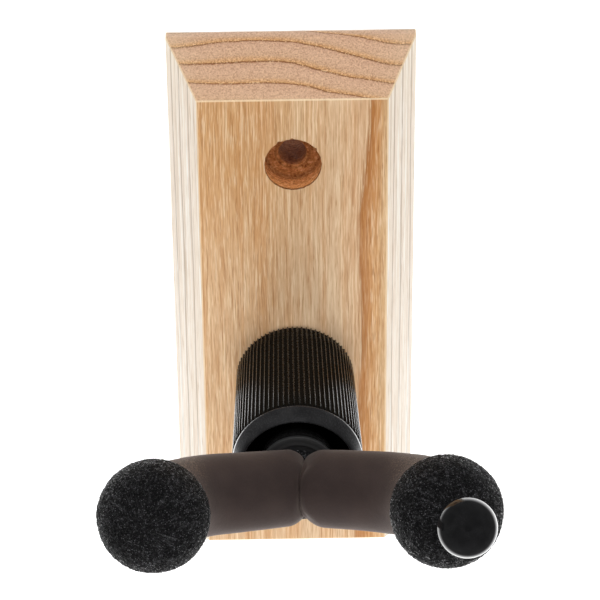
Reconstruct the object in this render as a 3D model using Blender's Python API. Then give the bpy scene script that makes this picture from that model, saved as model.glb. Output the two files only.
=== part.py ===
"""Wall guitar hanger: a bevelled ash block carries a ribbed cup, in which a padded steel yoke swivels.

Units are metres, +Z is up and +X is to the right for someone who faces the wall. The wall is the
plane Y = 0 and the hanger stands out from it towards -Y. The origin is the centre of the block's
back face. "Out" below is a distance from the wall.
"""

import math

import bmesh
import bpy
from mathutils import Vector

MM = 0.001
GAP = 0.3 * MM  # clearance between pieces that touch

# Ash block
BLOCK_WIDTH = 69.85 * MM
BLOCK_HEIGHT = 165.1 * MM
BLOCK_DEPTH = 25.4 * MM
BLOCK_LAND = 3.9 * MM  # square edge left along the wall
SIDE_BEVEL = 8.6 * MM  # how far a long bevel runs in across the front
END_BEVEL = 9.0 * MM
ARRIS = 0.4 * MM

# Holes in the block
SCREW_SPACING = 107.0 * MM
SCREW_RADIUS = 3.97 * MM
COUNTERBORE_RADIUS = 7.94 * MM
COUNTERBORE_DEPTH = 7.4 * MM
STEM_BORE_RADIUS = 6.35 * MM
NUT_RECESS_RADIUS = 11.1 * MM
NUT_RECESS_DEPTH = 13.0 * MM

# Swivel line
SWIVEL_HEIGHT = -15.4 * MM
STEM_RADIUS = 3.97 * MM
RUNNING_RADIUS = STEM_RADIUS + GAP

# Ribbed cup
CUP_BACK = BLOCK_DEPTH + GAP
CUP_BACK_RADIUS = 16.6 * MM
CUP_FRONT_RADIUS = 18.1 * MM
CUP_RIB_END = 68.3 * MM
CUP_LIP = 75.2 * MM
CUP_LIP_RADIUS = 16.6 * MM
CUP_WALL_RADIUS = 15.6 * MM  # inside of the annular recess
CUP_FLOOR = 59.0 * MM
CUP_BOSS_RADIUS = 10.0 * MM
CUP_BOSS_END = 71.9 * MM
RIB_COUNT = 78
RIB_DEPTH = 0.55 * MM
RIBS_PER_FACET = 2
RIB_PHASES = ((0.00, 1), (0.34, 1), (0.50, 0), (0.84, 0))  # share of the pitch, and crest or root

# Bushings, washers, nut and dowels
BUSHING_WALL = 1.9 * MM
FRONT_FLANGE_RADIUS = 10.3 * MM
FRONT_FLANGE_END = 73.4 * MM
FRONT_BUSHING_DEPTH = 13.0 * MM
REAR_FLANGE_RADIUS = 8.7 * MM
REAR_FLANGE_THICKNESS = 1.3 * MM
WASHER_RADIUS = 8.7 * MM
WASHER_THICKNESS = 1.6 * MM
SPRING_RADIUS = 7.9 * MM
SPRING_THICKNESS = 0.7 * MM
SPRING_RISE = 0.6 * MM
NUT_ACROSS_FLATS = 12.7 * MM
NUT_HEIGHT = 6.1 * MM
NUT_COLLAR_HEIGHT = 1.9 * MM
NUT_COLLAR_RADIUS = 5.95 * MM
NUT_POCKET_RADIUS = 5.3 * MM
NUT_POCKET_DEPTH = 1.6 * MM
DOWEL_RADIUS = 1.5 * MM
DOWEL_LENGTH = 10.0 * MM
DOWEL_OFFSET = 11.6 * MM

# Stem collar, a textured black washer between the cup and the yoke
COLLAR_RADIUS = 6.6 * MM
COLLAR_NOSE_RADIUS = 5.0 * MM
COLLAR_RIM = 0.4 * MM
COLLAR_LENGTH = 3.2 * MM
STEM_END = 1.0 * MM
STEM_CHAMFER = 0.7 * MM

# Yoke: one rod bent to a wide V in the middle, whose arms then turn forward to run side by side
YOKE_OUT = 82.1 * MM
YOKE_TILT = math.radians(24.5)
ROD_RADIUS = 4.76 * MM
SPREAD_ANGLE = math.radians(23.0)  # between an arm's inner stretch and the line across
END_ANGLE = math.radians(80.6)  # between an arm's outer stretch and the line across
MIDDLE_BEND = 10.0 * MM
ELBOW_BEND = 26.7 * MM
INNER_STRETCH = 22.0 * MM  # from the V's vertex to the elbow
OUTER_STRETCH = 10.3 * MM  # from the elbow to the ball's centre
ROD_OVERRUN = 3.5 * MM  # how far the rod passes the ball's centre
ROD_CHAMFER = 0.6 * MM

# Foam sleeves and balls
SLEEVE_INNER_RADIUS = 10.4 * MM
SLEEVE_OUTER_RADIUS = 11.4 * MM
SLEEVE_CHAMFER = 0.5 * MM
SLEEVE_SQUEEZE = 0.8 * MM  # how far each sleeve is pushed in against the other
BALL_RADIUS = 14.75 * MM

# Peg at the end of the right arm
PEG_RADIUS = 7.7 * MM
PEG_REACH = 22.75 * MM  # between the centres of the foam ball and the peg ball
PEG_SEAT_RADIUS = 4.4 * MM
PEG_INSERT_RADIUS = 3.6 * MM
PEG_INSERT_LENGTH = 7.0 * MM
STUD_RADIUS = 2.1 * MM
STUD_GRIP = 9.0 * MM  # length of stud inside the rod's end
STUD_CHAMFER = 0.4 * MM


def clear_scene():
    for item in list(bpy.data.objects):
        bpy.data.objects.remove(item, do_unlink=True)


def material(name, colour, roughness, metallic=0.0):
    made = bpy.data.materials.new(name)
    made.use_nodes = True
    shader = made.node_tree.nodes["Principled BSDF"]
    shader.inputs["Base Color"].default_value = (*colour, 1.0)
    shader.inputs["Roughness"].default_value = roughness
    shader.inputs["Metallic"].default_value = metallic
    made.diffuse_color = (*colour, 1.0)
    return made


def empty(name, parent=None, location=(0, 0, 0), rotation=(0, 0, 0)):
    item = bpy.data.objects.new(name, None)
    bpy.context.collection.objects.link(item)
    item.parent = parent
    item.location = location
    item.rotation_euler = rotation
    return item


def solid(name, mesh_data, surface, parent=None, location=(0, 0, 0)):
    """Turn a bmesh into a named object with outward faces and round stretches shaded smooth."""
    bmesh.ops.recalc_face_normals(mesh_data, faces=mesh_data.faces)
    mesh = bpy.data.meshes.new(name)
    mesh_data.to_mesh(mesh)
    mesh_data.free()
    mesh.shade_smooth()
    mesh.set_sharp_from_angle(angle=math.radians(35))
    if surface:
        mesh.materials.append(surface)
    item = bpy.data.objects.new(name, mesh)
    bpy.context.collection.objects.link(item)
    item.parent = parent
    item.location = location
    return item


def spread(start, end, count):
    return [start + (end - start) * step / (count - 1) for step in range(count)]


def straight(station):
    """Frame of a turned piece: stations run along its own Z axis."""
    return Vector((0, 0, station)), Vector((1, 0, 0)), Vector((0, 1, 0))


def ring(mesh_data, frame, radius, segments, sides=0):
    """One ring of vertices, or a single vertex where the radius is 0. sides makes it a polygon."""
    centre, across, upward = frame
    if radius == 0:
        return [mesh_data.verts.new(centre)]
    made = []
    for step in range(segments):
        angle = 2 * math.pi * step / segments
        reach = radius
        if sides:
            half = math.pi / sides
            reach = radius / math.cos(angle % (2 * half) - half)
        offset = math.cos(angle) * across + math.sin(angle) * upward
        made.append(mesh_data.verts.new(centre + reach * offset))
    return made


def bridge(mesh_data, first, second):
    """Faces between two rings, either of which may be a single vertex."""
    count = max(len(first), len(second))
    for step in range(count):
        following = (step + 1) % count
        if len(first) == 1:
            mesh_data.faces.new((first[0], second[step], second[following]))
        elif len(second) == 1:
            mesh_data.faces.new((first[step], second[0], first[following]))
        else:
            corners = (first[step], second[step], second[following], first[following])
            mesh_data.faces.new(corners)


def ring_solid(outline, segments, frame_at=straight):
    """Sweep an outline of (station, radius[, sides]) around a line.

    An outline that starts on the line ends on it too. Any other outline closes on itself and makes
    a tube.
    """
    mesh_data = bmesh.new()
    rings = []
    for station, radius, *sides in outline:
        rings.append(ring(mesh_data, frame_at(station), radius, segments, *sides))
    for first, second in zip(rings, rings[1:]):
        bridge(mesh_data, first, second)
    if outline[0][1] > 0:
        bridge(mesh_data, rings[-1], rings[0])
    return mesh_data


def tube_outline(start, end, radius, bore):
    return [(start, bore), (start, radius), (end, radius), (end, bore)]


def cut(item, name, outline, segments, location, parent):
    """Subtract a turned cutter from a piece."""
    cutter = solid(name, ring_solid(outline, segments), None, parent, location)
    cutter.hide_render = True
    cutter.display_type = "WIRE"
    modifier = item.modifiers.new(name, "BOOLEAN")
    modifier.operation = "DIFFERENCE"
    modifier.solver = "EXACT"
    modifier.object = cutter


def sphere_outline(radius, start_angle, end_angle, count):
    """Stations and radii along a sphere's arc. Angles are measured from its +Z pole."""
    angles = spread(start_angle, end_angle, count)
    return [(radius * math.cos(angle), radius * math.sin(angle)) for angle in angles]


# Block


def backing_block(wood, wall_axis, swivel_axis):
    """A board with four bevels that leave a square land along the wall."""
    mesh_data = bmesh.new()
    levels = (
        (0.0, 0.0, 0.0),
        (BLOCK_LAND, 0.0, 0.0),
        (BLOCK_DEPTH, SIDE_BEVEL, END_BEVEL),
    )
    rings = []
    for out, side_inset, end_inset in levels:
        half_width = BLOCK_WIDTH / 2 - side_inset
        half_height = BLOCK_HEIGHT / 2 - end_inset
        corners = ((-1, -1), (1, -1), (1, 1), (-1, 1))
        rings.append(
            [mesh_data.verts.new((x * half_width, y * half_height, out)) for x, y in corners]
        )
    for first, second in zip(rings, rings[1:]):
        bridge(mesh_data, first, second)
    mesh_data.faces.new(rings[0])
    mesh_data.faces.new(rings[-1])
    block = solid("backing_block", mesh_data, wood, wall_axis)
    rounding = block.modifiers.new("arris", "BEVEL")
    rounding.width = ARRIS
    rounding.segments = 1
    rounding.limit_method = "ANGLE"
    rounding.angle_limit = math.radians(20)

    past = 1 * MM
    floor = BLOCK_DEPTH - COUNTERBORE_DEPTH
    screw_hole = [
        (-past, 0),
        (-past, SCREW_RADIUS),
        (floor, SCREW_RADIUS),
        (floor, COUNTERBORE_RADIUS),
        (BLOCK_DEPTH + past, COUNTERBORE_RADIUS),
        (BLOCK_DEPTH + past, 0),
    ]
    for name, side in (("upper", 1), ("lower", -1)):
        place = (0, side * SCREW_SPACING / 2, 0)
        cut(block, name + "_screw_cutter", screw_hole, 40, place, wall_axis)
    stem_hole = [
        (-past, 0),
        (-past, NUT_RECESS_RADIUS),
        (NUT_RECESS_DEPTH, NUT_RECESS_RADIUS),
        (NUT_RECESS_DEPTH, STEM_BORE_RADIUS),
        (BLOCK_DEPTH + past, STEM_BORE_RADIUS),
        (BLOCK_DEPTH + past, 0),
    ]
    cut(block, "stem_cutter", stem_hole, 40, (0, 0, 0), swivel_axis)
    dowel_hole = dowel_cutter(BLOCK_DEPTH - DOWEL_LENGTH / 2 - GAP, BLOCK_DEPTH + past)
    for name, side in (("upper", 1), ("lower", -1)):
        place = (0, side * DOWEL_OFFSET, 0)
        cut(block, name + "_block_dowel_cutter", dowel_hole, 12, place, swivel_axis)
    return block


def dowel_cutter(start, end):
    radius = DOWEL_RADIUS + GAP
    return [(start, 0), (start, radius), (end, radius), (end, 0)]


# Cup


def ribbed_ring(mesh_data, out, crest):
    """The ribs' cross-section: flat crests and flat roots with sloping flanks."""
    made = []
    pitch = 2 * math.pi / RIB_COUNT
    for rib in range(RIB_COUNT):
        for phase, is_crest in RIB_PHASES:
            angle = (rib + phase) * pitch
            radius = crest if is_crest else crest - RIB_DEPTH
            point = (radius * math.cos(angle), radius * math.sin(angle), out)
            made.append(mesh_data.verts.new(point))
    return made


def ribbed_end(mesh_data, ribbed, smooth):
    """Flat end face between a ribbed ring and a plain ring of fewer points."""
    stride = RIBS_PER_FACET * len(RIB_PHASES)
    for facet in range(len(smooth)):
        start = facet * stride
        outer = [ribbed[(start + step) % len(ribbed)] for step in range(stride + 1)]
        inner = [smooth[(facet + 1) % len(smooth)], smooth[facet]]
        mesh_data.faces.new(outer + inner)


def cup_housing(plastic, swivel_axis):
    """Turned core with a deep annular recess, and straight ribs that widen towards the front."""
    mesh_data = bmesh.new()
    segments = RIB_COUNT // RIBS_PER_FACET
    neck = CUP_FRONT_RADIUS - 2 * RIB_DEPTH
    bushing_radius = RUNNING_RADIUS + BUSHING_WALL + GAP
    bushing_seat = CUP_BOSS_END - FRONT_BUSHING_DEPTH - GAP
    core = [
        (CUP_RIB_END, neck),
        (CUP_RIB_END + 0.7 * MM, neck),
        (CUP_RIB_END + 1.0 * MM, CUP_FRONT_RADIUS),
        (CUP_LIP - 3.0 * MM, CUP_LIP_RADIUS + 0.9 * MM),
        (CUP_LIP - 0.7 * MM, CUP_LIP_RADIUS + 0.3 * MM),
        (CUP_LIP, CUP_LIP_RADIUS - 0.1 * MM),
        (CUP_LIP - 0.3 * MM, CUP_LIP_RADIUS - 0.4 * MM),
        (CUP_FLOOR, CUP_WALL_RADIUS),
        (CUP_FLOOR, CUP_BOSS_RADIUS),
        (CUP_BOSS_END, CUP_BOSS_RADIUS),
        (CUP_BOSS_END, bushing_radius),
        (bushing_seat, bushing_radius),
        (bushing_seat, RUNNING_RADIUS),
        (CUP_BACK, RUNNING_RADIUS),
        (CUP_BACK, CUP_BACK_RADIUS - 2 * RIB_DEPTH),
    ]
    rings = [ring(mesh_data, straight(out), radius, segments) for out, radius in core]
    for first, second in zip(rings, rings[1:]):
        bridge(mesh_data, first, second)
    back = ribbed_ring(mesh_data, CUP_BACK, CUP_BACK_RADIUS)
    front = ribbed_ring(mesh_data, CUP_RIB_END, CUP_FRONT_RADIUS)
    bridge(mesh_data, back, front)
    ribbed_end(mesh_data, front, rings[0])
    ribbed_end(mesh_data, back, rings[-1])
    cup = solid("cup_housing", mesh_data, plastic, swivel_axis)
    dowel_hole = dowel_cutter(CUP_BACK - 1 * MM, BLOCK_DEPTH + DOWEL_LENGTH / 2 + GAP)
    for name, side in (("upper", 1), ("lower", -1)):
        place = (0, side * DOWEL_OFFSET, 0)
        cut(cup, name + "_cup_dowel_cutter", dowel_hole, 12, place, swivel_axis)
    return cup


def cup_dowels(steel, swivel_axis):
    """Two pins across the joint of block and cup, which stop the cup from turning."""
    start = BLOCK_DEPTH - DOWEL_LENGTH / 2
    end = BLOCK_DEPTH + DOWEL_LENGTH / 2
    chamfer = 0.4 * MM
    outline = [
        (start, 0),
        (start, DOWEL_RADIUS - chamfer),
        (start + chamfer, DOWEL_RADIUS),
        (end - chamfer, DOWEL_RADIUS),
        (end, DOWEL_RADIUS - chamfer),
        (end, 0),
    ]
    for name, side in (("upper", 1), ("lower", -1)):
        place = (0, side * DOWEL_OFFSET, 0)
        solid(name + "_cup_dowel", ring_solid(outline, 12), steel, swivel_axis, place)


# Bearings and fasteners on the swivel line


def front_bushing(acetal, swivel_axis):
    back = CUP_BOSS_END - FRONT_BUSHING_DEPTH
    barrel = RUNNING_RADIUS + BUSHING_WALL
    flange = CUP_BOSS_END + GAP
    edge = 0.4 * MM
    outline = [
        (back, RUNNING_RADIUS),
        (back, barrel),
        (flange, barrel),
        (flange, FRONT_FLANGE_RADIUS),
        (FRONT_FLANGE_END - edge, FRONT_FLANGE_RADIUS),
        (FRONT_FLANGE_END, FRONT_FLANGE_RADIUS - edge),
        (FRONT_FLANGE_END, RUNNING_RADIUS),
    ]
    solid("front_bushing", ring_solid(outline, 36), acetal, swivel_axis)


def rear_stack(nylon, zinc, spring_steel, insert_nylon, swivel_axis):
    """Flanged bushing, washer, spring washer and lock nut, from the recess floor to the wall."""
    top = NUT_RECESS_DEPTH - GAP
    under = top - REAR_FLANGE_THICKNESS
    barrel = STEM_BORE_RADIUS - GAP
    outline = [
        (under, RUNNING_RADIUS),
        (under, REAR_FLANGE_RADIUS),
        (top, REAR_FLANGE_RADIUS),
        (top, barrel),
        (BLOCK_DEPTH - GAP, barrel),
        (BLOCK_DEPTH - GAP, RUNNING_RADIUS),
    ]
    solid("rear_bushing", ring_solid(outline, 32), nylon, swivel_axis)

    top = under - GAP
    under = top - WASHER_THICKNESS
    outline = tube_outline(under, top, WASHER_RADIUS, RUNNING_RADIUS)
    solid("flat_washer", ring_solid(outline, 32), zinc, swivel_axis)

    top = under - GAP
    under = top - SPRING_THICKNESS
    outline = [
        (under - SPRING_RISE, RUNNING_RADIUS),
        (under, SPRING_RADIUS),
        (top, SPRING_RADIUS),
        (top - SPRING_RISE, RUNNING_RADIUS),
    ]
    solid("spring_washer", ring_solid(outline, 32), spring_steel, swivel_axis)

    lock_nut(zinc, insert_nylon, under - SPRING_RISE - GAP, swivel_axis)


def lock_nut(zinc, insert_nylon, top, swivel_axis):
    """Hexagon nut whose round collar, on the wall side, holds a nylon locking ring."""
    under = top - NUT_HEIGHT
    shoulder = under + NUT_COLLAR_HEIGHT
    pocket = under + NUT_POCKET_DEPTH
    flat = NUT_ACROSS_FLATS / 2
    outline = [
        (pocket, RUNNING_RADIUS),
        (pocket, NUT_POCKET_RADIUS),
        (under, NUT_POCKET_RADIUS),
        (under, NUT_COLLAR_RADIUS),
        (shoulder, NUT_COLLAR_RADIUS),
        (shoulder, flat, 6),
        (top, flat, 6),
        (top, RUNNING_RADIUS),
    ]
    solid("lock_nut", ring_solid(outline, 36), zinc, swivel_axis)
    outline = tube_outline(under + GAP, pocket - GAP, NUT_POCKET_RADIUS - GAP, RUNNING_RADIUS)
    solid("lock_nut_insert", ring_solid(outline, 36), insert_nylon, swivel_axis)


def stem_collar(rubber, swivel_axis):
    start = FRONT_FLANGE_END + GAP
    end = start + COLLAR_LENGTH
    outline = [
        (start, RUNNING_RADIUS),
        (start, COLLAR_RADIUS),
        (start + COLLAR_RIM, COLLAR_RADIUS),
        (end, COLLAR_NOSE_RADIUS),
        (end, RUNNING_RADIUS),
    ]
    solid("stem_collar", ring_solid(outline, 32), rubber, swivel_axis)


def yoke_stem(steel, swivel_axis):
    """Stud that carries the yoke. In the real hanger its front end is welded to the rod."""
    apex = YOKE_OUT + middle_rise() * math.cos(YOKE_TILT)
    end = apex - ROD_RADIUS - GAP
    outline = [
        (STEM_END, 0),
        (STEM_END, STEM_RADIUS - STEM_CHAMFER),
        (STEM_END + STEM_CHAMFER, STEM_RADIUS),
        (end, STEM_RADIUS),
        (end, 0),
    ]
    solid("yoke_stem", ring_solid(outline, 24), steel, swivel_axis)


# Yoke


def middle_rise():
    """How far the middle bend cuts the corner of the V."""
    return MIDDLE_BEND * (1 / math.cos(SPREAD_ANGLE) - 1)


def arm_length():
    """Length along an arm's centre line, from the middle of the rod to the ball's centre."""
    straight_part = INNER_STRETCH - MIDDLE_BEND * math.tan(SPREAD_ANGLE)
    bends = MIDDLE_BEND * SPREAD_ANGLE + ELBOW_BEND * (END_ANGLE - SPREAD_ANGLE)
    return straight_part + bends + OUTER_STRETCH


def arm_point(distance):
    """Place (across, forward) and heading on the right arm, at a distance along its centre line."""
    middle = MIDDLE_BEND * SPREAD_ANGLE
    inner = INNER_STRETCH - MIDDLE_BEND * math.tan(SPREAD_ANGLE)
    elbow = ELBOW_BEND * (END_ANGLE - SPREAD_ANGLE)
    bend = min(distance, middle) / MIDDLE_BEND
    across = MIDDLE_BEND * math.sin(bend)
    forward = middle_rise() + MIDDLE_BEND * (1 - math.cos(bend))
    heading = bend
    distance -= middle
    if distance > 0:
        run = min(distance, inner)
        across += run * math.cos(heading)
        forward += run * math.sin(heading)
        distance -= inner
    if distance > 0:
        turned = SPREAD_ANGLE + min(distance, elbow) / ELBOW_BEND
        across += ELBOW_BEND * (math.sin(turned) - math.sin(SPREAD_ANGLE))
        forward += ELBOW_BEND * (math.cos(SPREAD_ANGLE) - math.cos(turned))
        heading = turned
        distance -= elbow
    if distance > 0:
        across += distance * math.cos(heading)
        forward += distance * math.sin(heading)
    return across, forward, heading


def arm_frame(station):
    """Frame on the bent rod. Stations are negative on the left arm and positive on the right."""
    across, forward, heading = arm_point(abs(station))
    side = -1 if station < 0 else 1
    centre = Vector((side * across, 0, forward))
    inward = Vector((-side * math.sin(heading), 0, math.cos(heading)))
    return centre, inward, Vector((0, 1, 0))


def yoke_rod(steel, yoke_plane):
    """The right end is tapped for the peg's stud."""
    end = arm_length() + ROD_OVERRUN
    hole = STUD_RADIUS + GAP
    run = spread(-end + ROD_CHAMFER, end - ROD_CHAMFER, 41)
    outline = [(-end, 0), (-end, ROD_RADIUS - ROD_CHAMFER)]
    outline += [(station, ROD_RADIUS) for station in run]
    outline += [
        (end, ROD_RADIUS - ROD_CHAMFER),
        (end, hole),
        (end - STUD_GRIP - GAP, hole),
        (end - STUD_GRIP - GAP, 0),
    ]
    solid("yoke_rod", ring_solid(outline, 16, arm_frame), steel, yoke_plane)


def ball_seat():
    """Distance from the ball's centre back to the flat that the sleeve's end meets."""
    return math.sqrt(BALL_RADIUS**2 - SLEEVE_OUTER_RADIUS**2)


def foam_sleeve(name, side, foam, yoke_plane):
    """Foam tube on one arm. The front edges of the two square ends press each other flat."""
    vertex_reach = (GAP / 2 + SLEEVE_INNER_RADIUS * math.sin(SPREAD_ANGLE)) / math.cos(SPREAD_ANGLE)
    corner_cut = MIDDLE_BEND * (math.tan(SPREAD_ANGLE) - SPREAD_ANGLE)
    start = vertex_reach - corner_cut - SLEEVE_SQUEEZE
    end = arm_length() - ball_seat() - GAP
    bore = ROD_RADIUS + GAP
    run = spread(start + SLEEVE_CHAMFER, end, 13)
    outline = [(side * start, SLEEVE_INNER_RADIUS - SLEEVE_CHAMFER)]
    for station in run:
        share = (station - start) / (end - start)
        radius = SLEEVE_INNER_RADIUS + share * (SLEEVE_OUTER_RADIUS - SLEEVE_INNER_RADIUS)
        outline.append((side * station, radius))
    outline += [(side * station, bore) for station in reversed(run)]
    outline.append((side * start, bore))
    mesh_data = ring_solid(outline, 24, arm_frame)
    for vertex in mesh_data.verts:
        vertex.co.x = side * max(side * vertex.co.x, GAP / 2)
    solid(name, mesh_data, foam, yoke_plane)


def foam_ball(name, foam, arm_end, through):
    """Foam ball with a flat seat for the sleeve and a bore for the rod, and for the peg's stud."""
    seat = ball_seat()
    bore = ROD_RADIUS + GAP
    depth = ROD_OVERRUN + GAP
    seat_angle = math.acos(-seat / BALL_RADIUS)
    tip_radius = STUD_RADIUS + GAP if through else 0
    tip_angle = math.asin(tip_radius / BALL_RADIUS)
    arc = sphere_outline(BALL_RADIUS, seat_angle, tip_angle, 13)
    if through:
        outline = [(-seat, bore)] + arc + [(depth, tip_radius), (depth, bore)]
    else:
        outline = [(depth, 0), (depth, bore), (-seat, bore)] + arc[:-1] + [(BALL_RADIUS, 0)]
    solid(name, ring_solid(outline, 24), foam, arm_end)


def peg(steel, brass, gloss_plastic, arm_end):
    """Stud, threaded insert and ball of the peg in front of the right foam ball."""
    start = ROD_OVERRUN - STUD_GRIP
    seat = PEG_REACH - math.sqrt(PEG_RADIUS**2 - PEG_SEAT_RADIUS**2)
    end = seat + PEG_INSERT_LENGTH - GAP
    outline = [
        (start, 0),
        (start, STUD_RADIUS - STUD_CHAMFER),
        (start + STUD_CHAMFER, STUD_RADIUS),
        (end - STUD_CHAMFER, STUD_RADIUS),
        (end, STUD_RADIUS - STUD_CHAMFER),
        (end, 0),
    ]
    solid("peg_stud", ring_solid(outline, 16), steel, arm_end)

    pocket = PEG_INSERT_RADIUS + GAP
    insert_end = seat + PEG_INSERT_LENGTH
    bore = STUD_RADIUS + GAP
    outline = tube_outline(seat, insert_end, PEG_INSERT_RADIUS, bore)
    solid("peg_insert", ring_solid(outline, 24), brass, arm_end)

    seat_angle = math.pi - math.asin(PEG_SEAT_RADIUS / PEG_RADIUS)
    arc = sphere_outline(PEG_RADIUS, seat_angle, 0, 14)
    moved = [(PEG_REACH + station, radius) for station, radius in arc[:-1]]
    outline = [(insert_end + GAP, 0), (insert_end + GAP, pocket), (seat, pocket)]
    outline += moved + [(PEG_REACH + PEG_RADIUS, 0)]
    solid("peg_ball", ring_solid(outline, 24), gloss_plastic, arm_end)


def arm_end_frame(name, side, yoke_plane):
    """Empty at a ball's centre whose Z axis points out along the arm."""
    across, forward, heading = arm_point(arm_length())
    turn = side * (math.pi / 2 - heading)
    return empty(name, yoke_plane, (side * across, 0, forward), (0, turn, 0))


def build():
    clear_scene()
    wood = material("ash_wood", (0.72, 0.52, 0.33), 0.55)
    cup_plastic = material("cup_plastic", (0.02, 0.02, 0.021), 0.38)
    acetal = material("bushing_acetal", (0.05, 0.05, 0.052), 0.42)
    nylon = material("bushing_nylon", (0.80, 0.78, 0.72), 0.45)
    insert_nylon = material("nut_nylon", (0.10, 0.22, 0.50), 0.40)
    zinc = material("zinc_steel", (0.62, 0.62, 0.60), 0.32, 1.0)
    spring_steel = material("spring_steel", (0.20, 0.20, 0.21), 0.35, 1.0)
    black_steel = material("black_steel", (0.03, 0.03, 0.032), 0.45, 1.0)
    brass = material("insert_brass", (0.75, 0.56, 0.24), 0.30, 1.0)
    brown_foam = material("brown_foam", (0.055, 0.038, 0.034), 0.85)
    black_foam = material("black_foam", (0.015, 0.015, 0.016), 0.80)
    gloss_plastic = material("peg_plastic", (0.006, 0.006, 0.007), 0.06)

    facing_out = (math.radians(90), 0, 0)
    wall_axis = empty("wall_axis", rotation=facing_out)
    swivel_axis = empty("swivel_axis", location=(0, 0, SWIVEL_HEIGHT), rotation=facing_out)
    yoke_plane = empty("yoke_plane", swivel_axis, (0, 0, YOKE_OUT), (-YOKE_TILT, 0, 0))
    left_end = arm_end_frame("left_arm_end", -1, yoke_plane)
    right_end = arm_end_frame("right_arm_end", 1, yoke_plane)

    backing_block(wood, wall_axis, swivel_axis)
    cup_housing(cup_plastic, swivel_axis)
    cup_dowels(zinc, swivel_axis)
    front_bushing(acetal, swivel_axis)
    rear_stack(nylon, zinc, spring_steel, insert_nylon, swivel_axis)
    stem_collar(black_foam, swivel_axis)
    yoke_stem(zinc, swivel_axis)
    yoke_rod(black_steel, yoke_plane)
    foam_sleeve("left_sleeve", -1, brown_foam, yoke_plane)
    foam_sleeve("right_sleeve", 1, brown_foam, yoke_plane)
    foam_ball("left_ball", black_foam, left_end, through=False)
    foam_ball("right_ball", black_foam, right_end, through=True)
    peg(zinc, brass, gloss_plastic, right_end)


build()
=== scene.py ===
"""Looks of the wall guitar hanger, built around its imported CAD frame.

The frame is the CAD's: +X right, +Z up, and the wall is the plane Y = 0. Sizes are in millimetres, and
only the floor and the lamps are placed in metres.
"""

import math

import bmesh
import bpy
import numpy as np
from mathutils import Matrix, Vector, noise


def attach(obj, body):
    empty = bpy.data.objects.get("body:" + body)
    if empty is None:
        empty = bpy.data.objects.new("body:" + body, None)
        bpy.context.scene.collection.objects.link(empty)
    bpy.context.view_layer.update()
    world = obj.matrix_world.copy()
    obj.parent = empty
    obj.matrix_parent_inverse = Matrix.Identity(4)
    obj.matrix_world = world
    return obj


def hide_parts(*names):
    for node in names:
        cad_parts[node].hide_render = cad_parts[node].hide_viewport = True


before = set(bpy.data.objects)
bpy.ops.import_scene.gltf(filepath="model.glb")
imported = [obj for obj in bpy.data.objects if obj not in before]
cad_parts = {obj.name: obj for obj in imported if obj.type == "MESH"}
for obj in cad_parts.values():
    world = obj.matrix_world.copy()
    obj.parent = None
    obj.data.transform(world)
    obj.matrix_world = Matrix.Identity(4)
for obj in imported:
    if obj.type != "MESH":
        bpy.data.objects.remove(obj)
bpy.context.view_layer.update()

MM = 0.001
TAU = 2 * math.pi
SQUARE = ((-1, -1), (1, -1), (1, 1), (-1, 1))

# Swivel line and yoke, as in the CAD
SWIVEL_HEIGHT = -15.4
YOKE_OUT = 82.1
YOKE_TILT = math.radians(24.5)
ROD_RADIUS = 4.76
SPREAD_ANGLE = math.radians(23.0)
END_ANGLE = math.radians(80.6)
MIDDLE_BEND = 10.0
ELBOW_BEND = 26.7
INNER_STRETCH = 22.0
OUTER_STRETCH = 10.3
MIDDLE_RISE = MIDDLE_BEND * (1 / math.cos(SPREAD_ANGLE) - 1)
MIDDLE_ARC = MIDDLE_BEND * SPREAD_ANGLE
INNER_RUN = INNER_STRETCH - MIDDLE_BEND * math.tan(SPREAD_ANGLE)
ELBOW_ARC = ELBOW_BEND * (END_ANGLE - SPREAD_ANGLE)
ARM_LENGTH = INNER_RUN + (MIDDLE_ARC + ELBOW_ARC) + OUTER_STRETCH
CORNER_CUT = MIDDLE_BEND * (math.tan(SPREAD_ANGLE) - SPREAD_ANGLE)  # path saved by the middle bend
RUNNING_RADIUS = 4.27

# Block
BLOCK_WIDTH = 69.85
BLOCK_HEIGHT = 165.1
BLOCK_DEPTH = 25.4
BLOCK_LAND = 3.9
SIDE_BEVEL = 8.6
END_BEVEL = 9.0
SCREW_HEIGHT = 53.5
SCREW_RADIUS = 3.97
COUNTERBORE_RADIUS = 7.9
COUNTERBORE_DEPTH = 7.4
STEM_BORE_RADIUS = 6.35
RECESS_RADIUS = 11.1  # of the nut's recess at the back
RECESS_DEPTH = 13.0
ARRIS_WIDTH = 0.38

# Cup: where its ribs begin and end, their radius at the block and how much wider they are in front
CUP_BACK = 25.7
CUP_RIB_END = 68.3
CUP_RADIUS = 16.95
CUP_FLARE = 1.15

# Foam and peg
SLEEVE_INNER_RADIUS = 10.4
SLEEVE_OUTER_RADIUS = 11.4
FOAM_BORE = ROD_RADIUS + 0.1
BALL_RADIUS = 14.75
BALL_SEAT = math.sqrt(BALL_RADIUS**2 - SLEEVE_OUTER_RADIUS**2)  # from the ball's centre to its flat seat
PEG_RADIUS = 7.7
PEG_REACH = 22.75
PEG_SEAT_RADIUS = 4.4


# ---- frames

WALL = Matrix.Rotation(math.radians(90), 4, "X")
SWIVEL = Matrix.Translation((0, 0, SWIVEL_HEIGHT * MM)) @ WALL
YOKE = SWIVEL @ Matrix.Translation((0, 0, YOKE_OUT * MM)) @ Matrix.Rotation(-YOKE_TILT, 4, "X")


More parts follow.
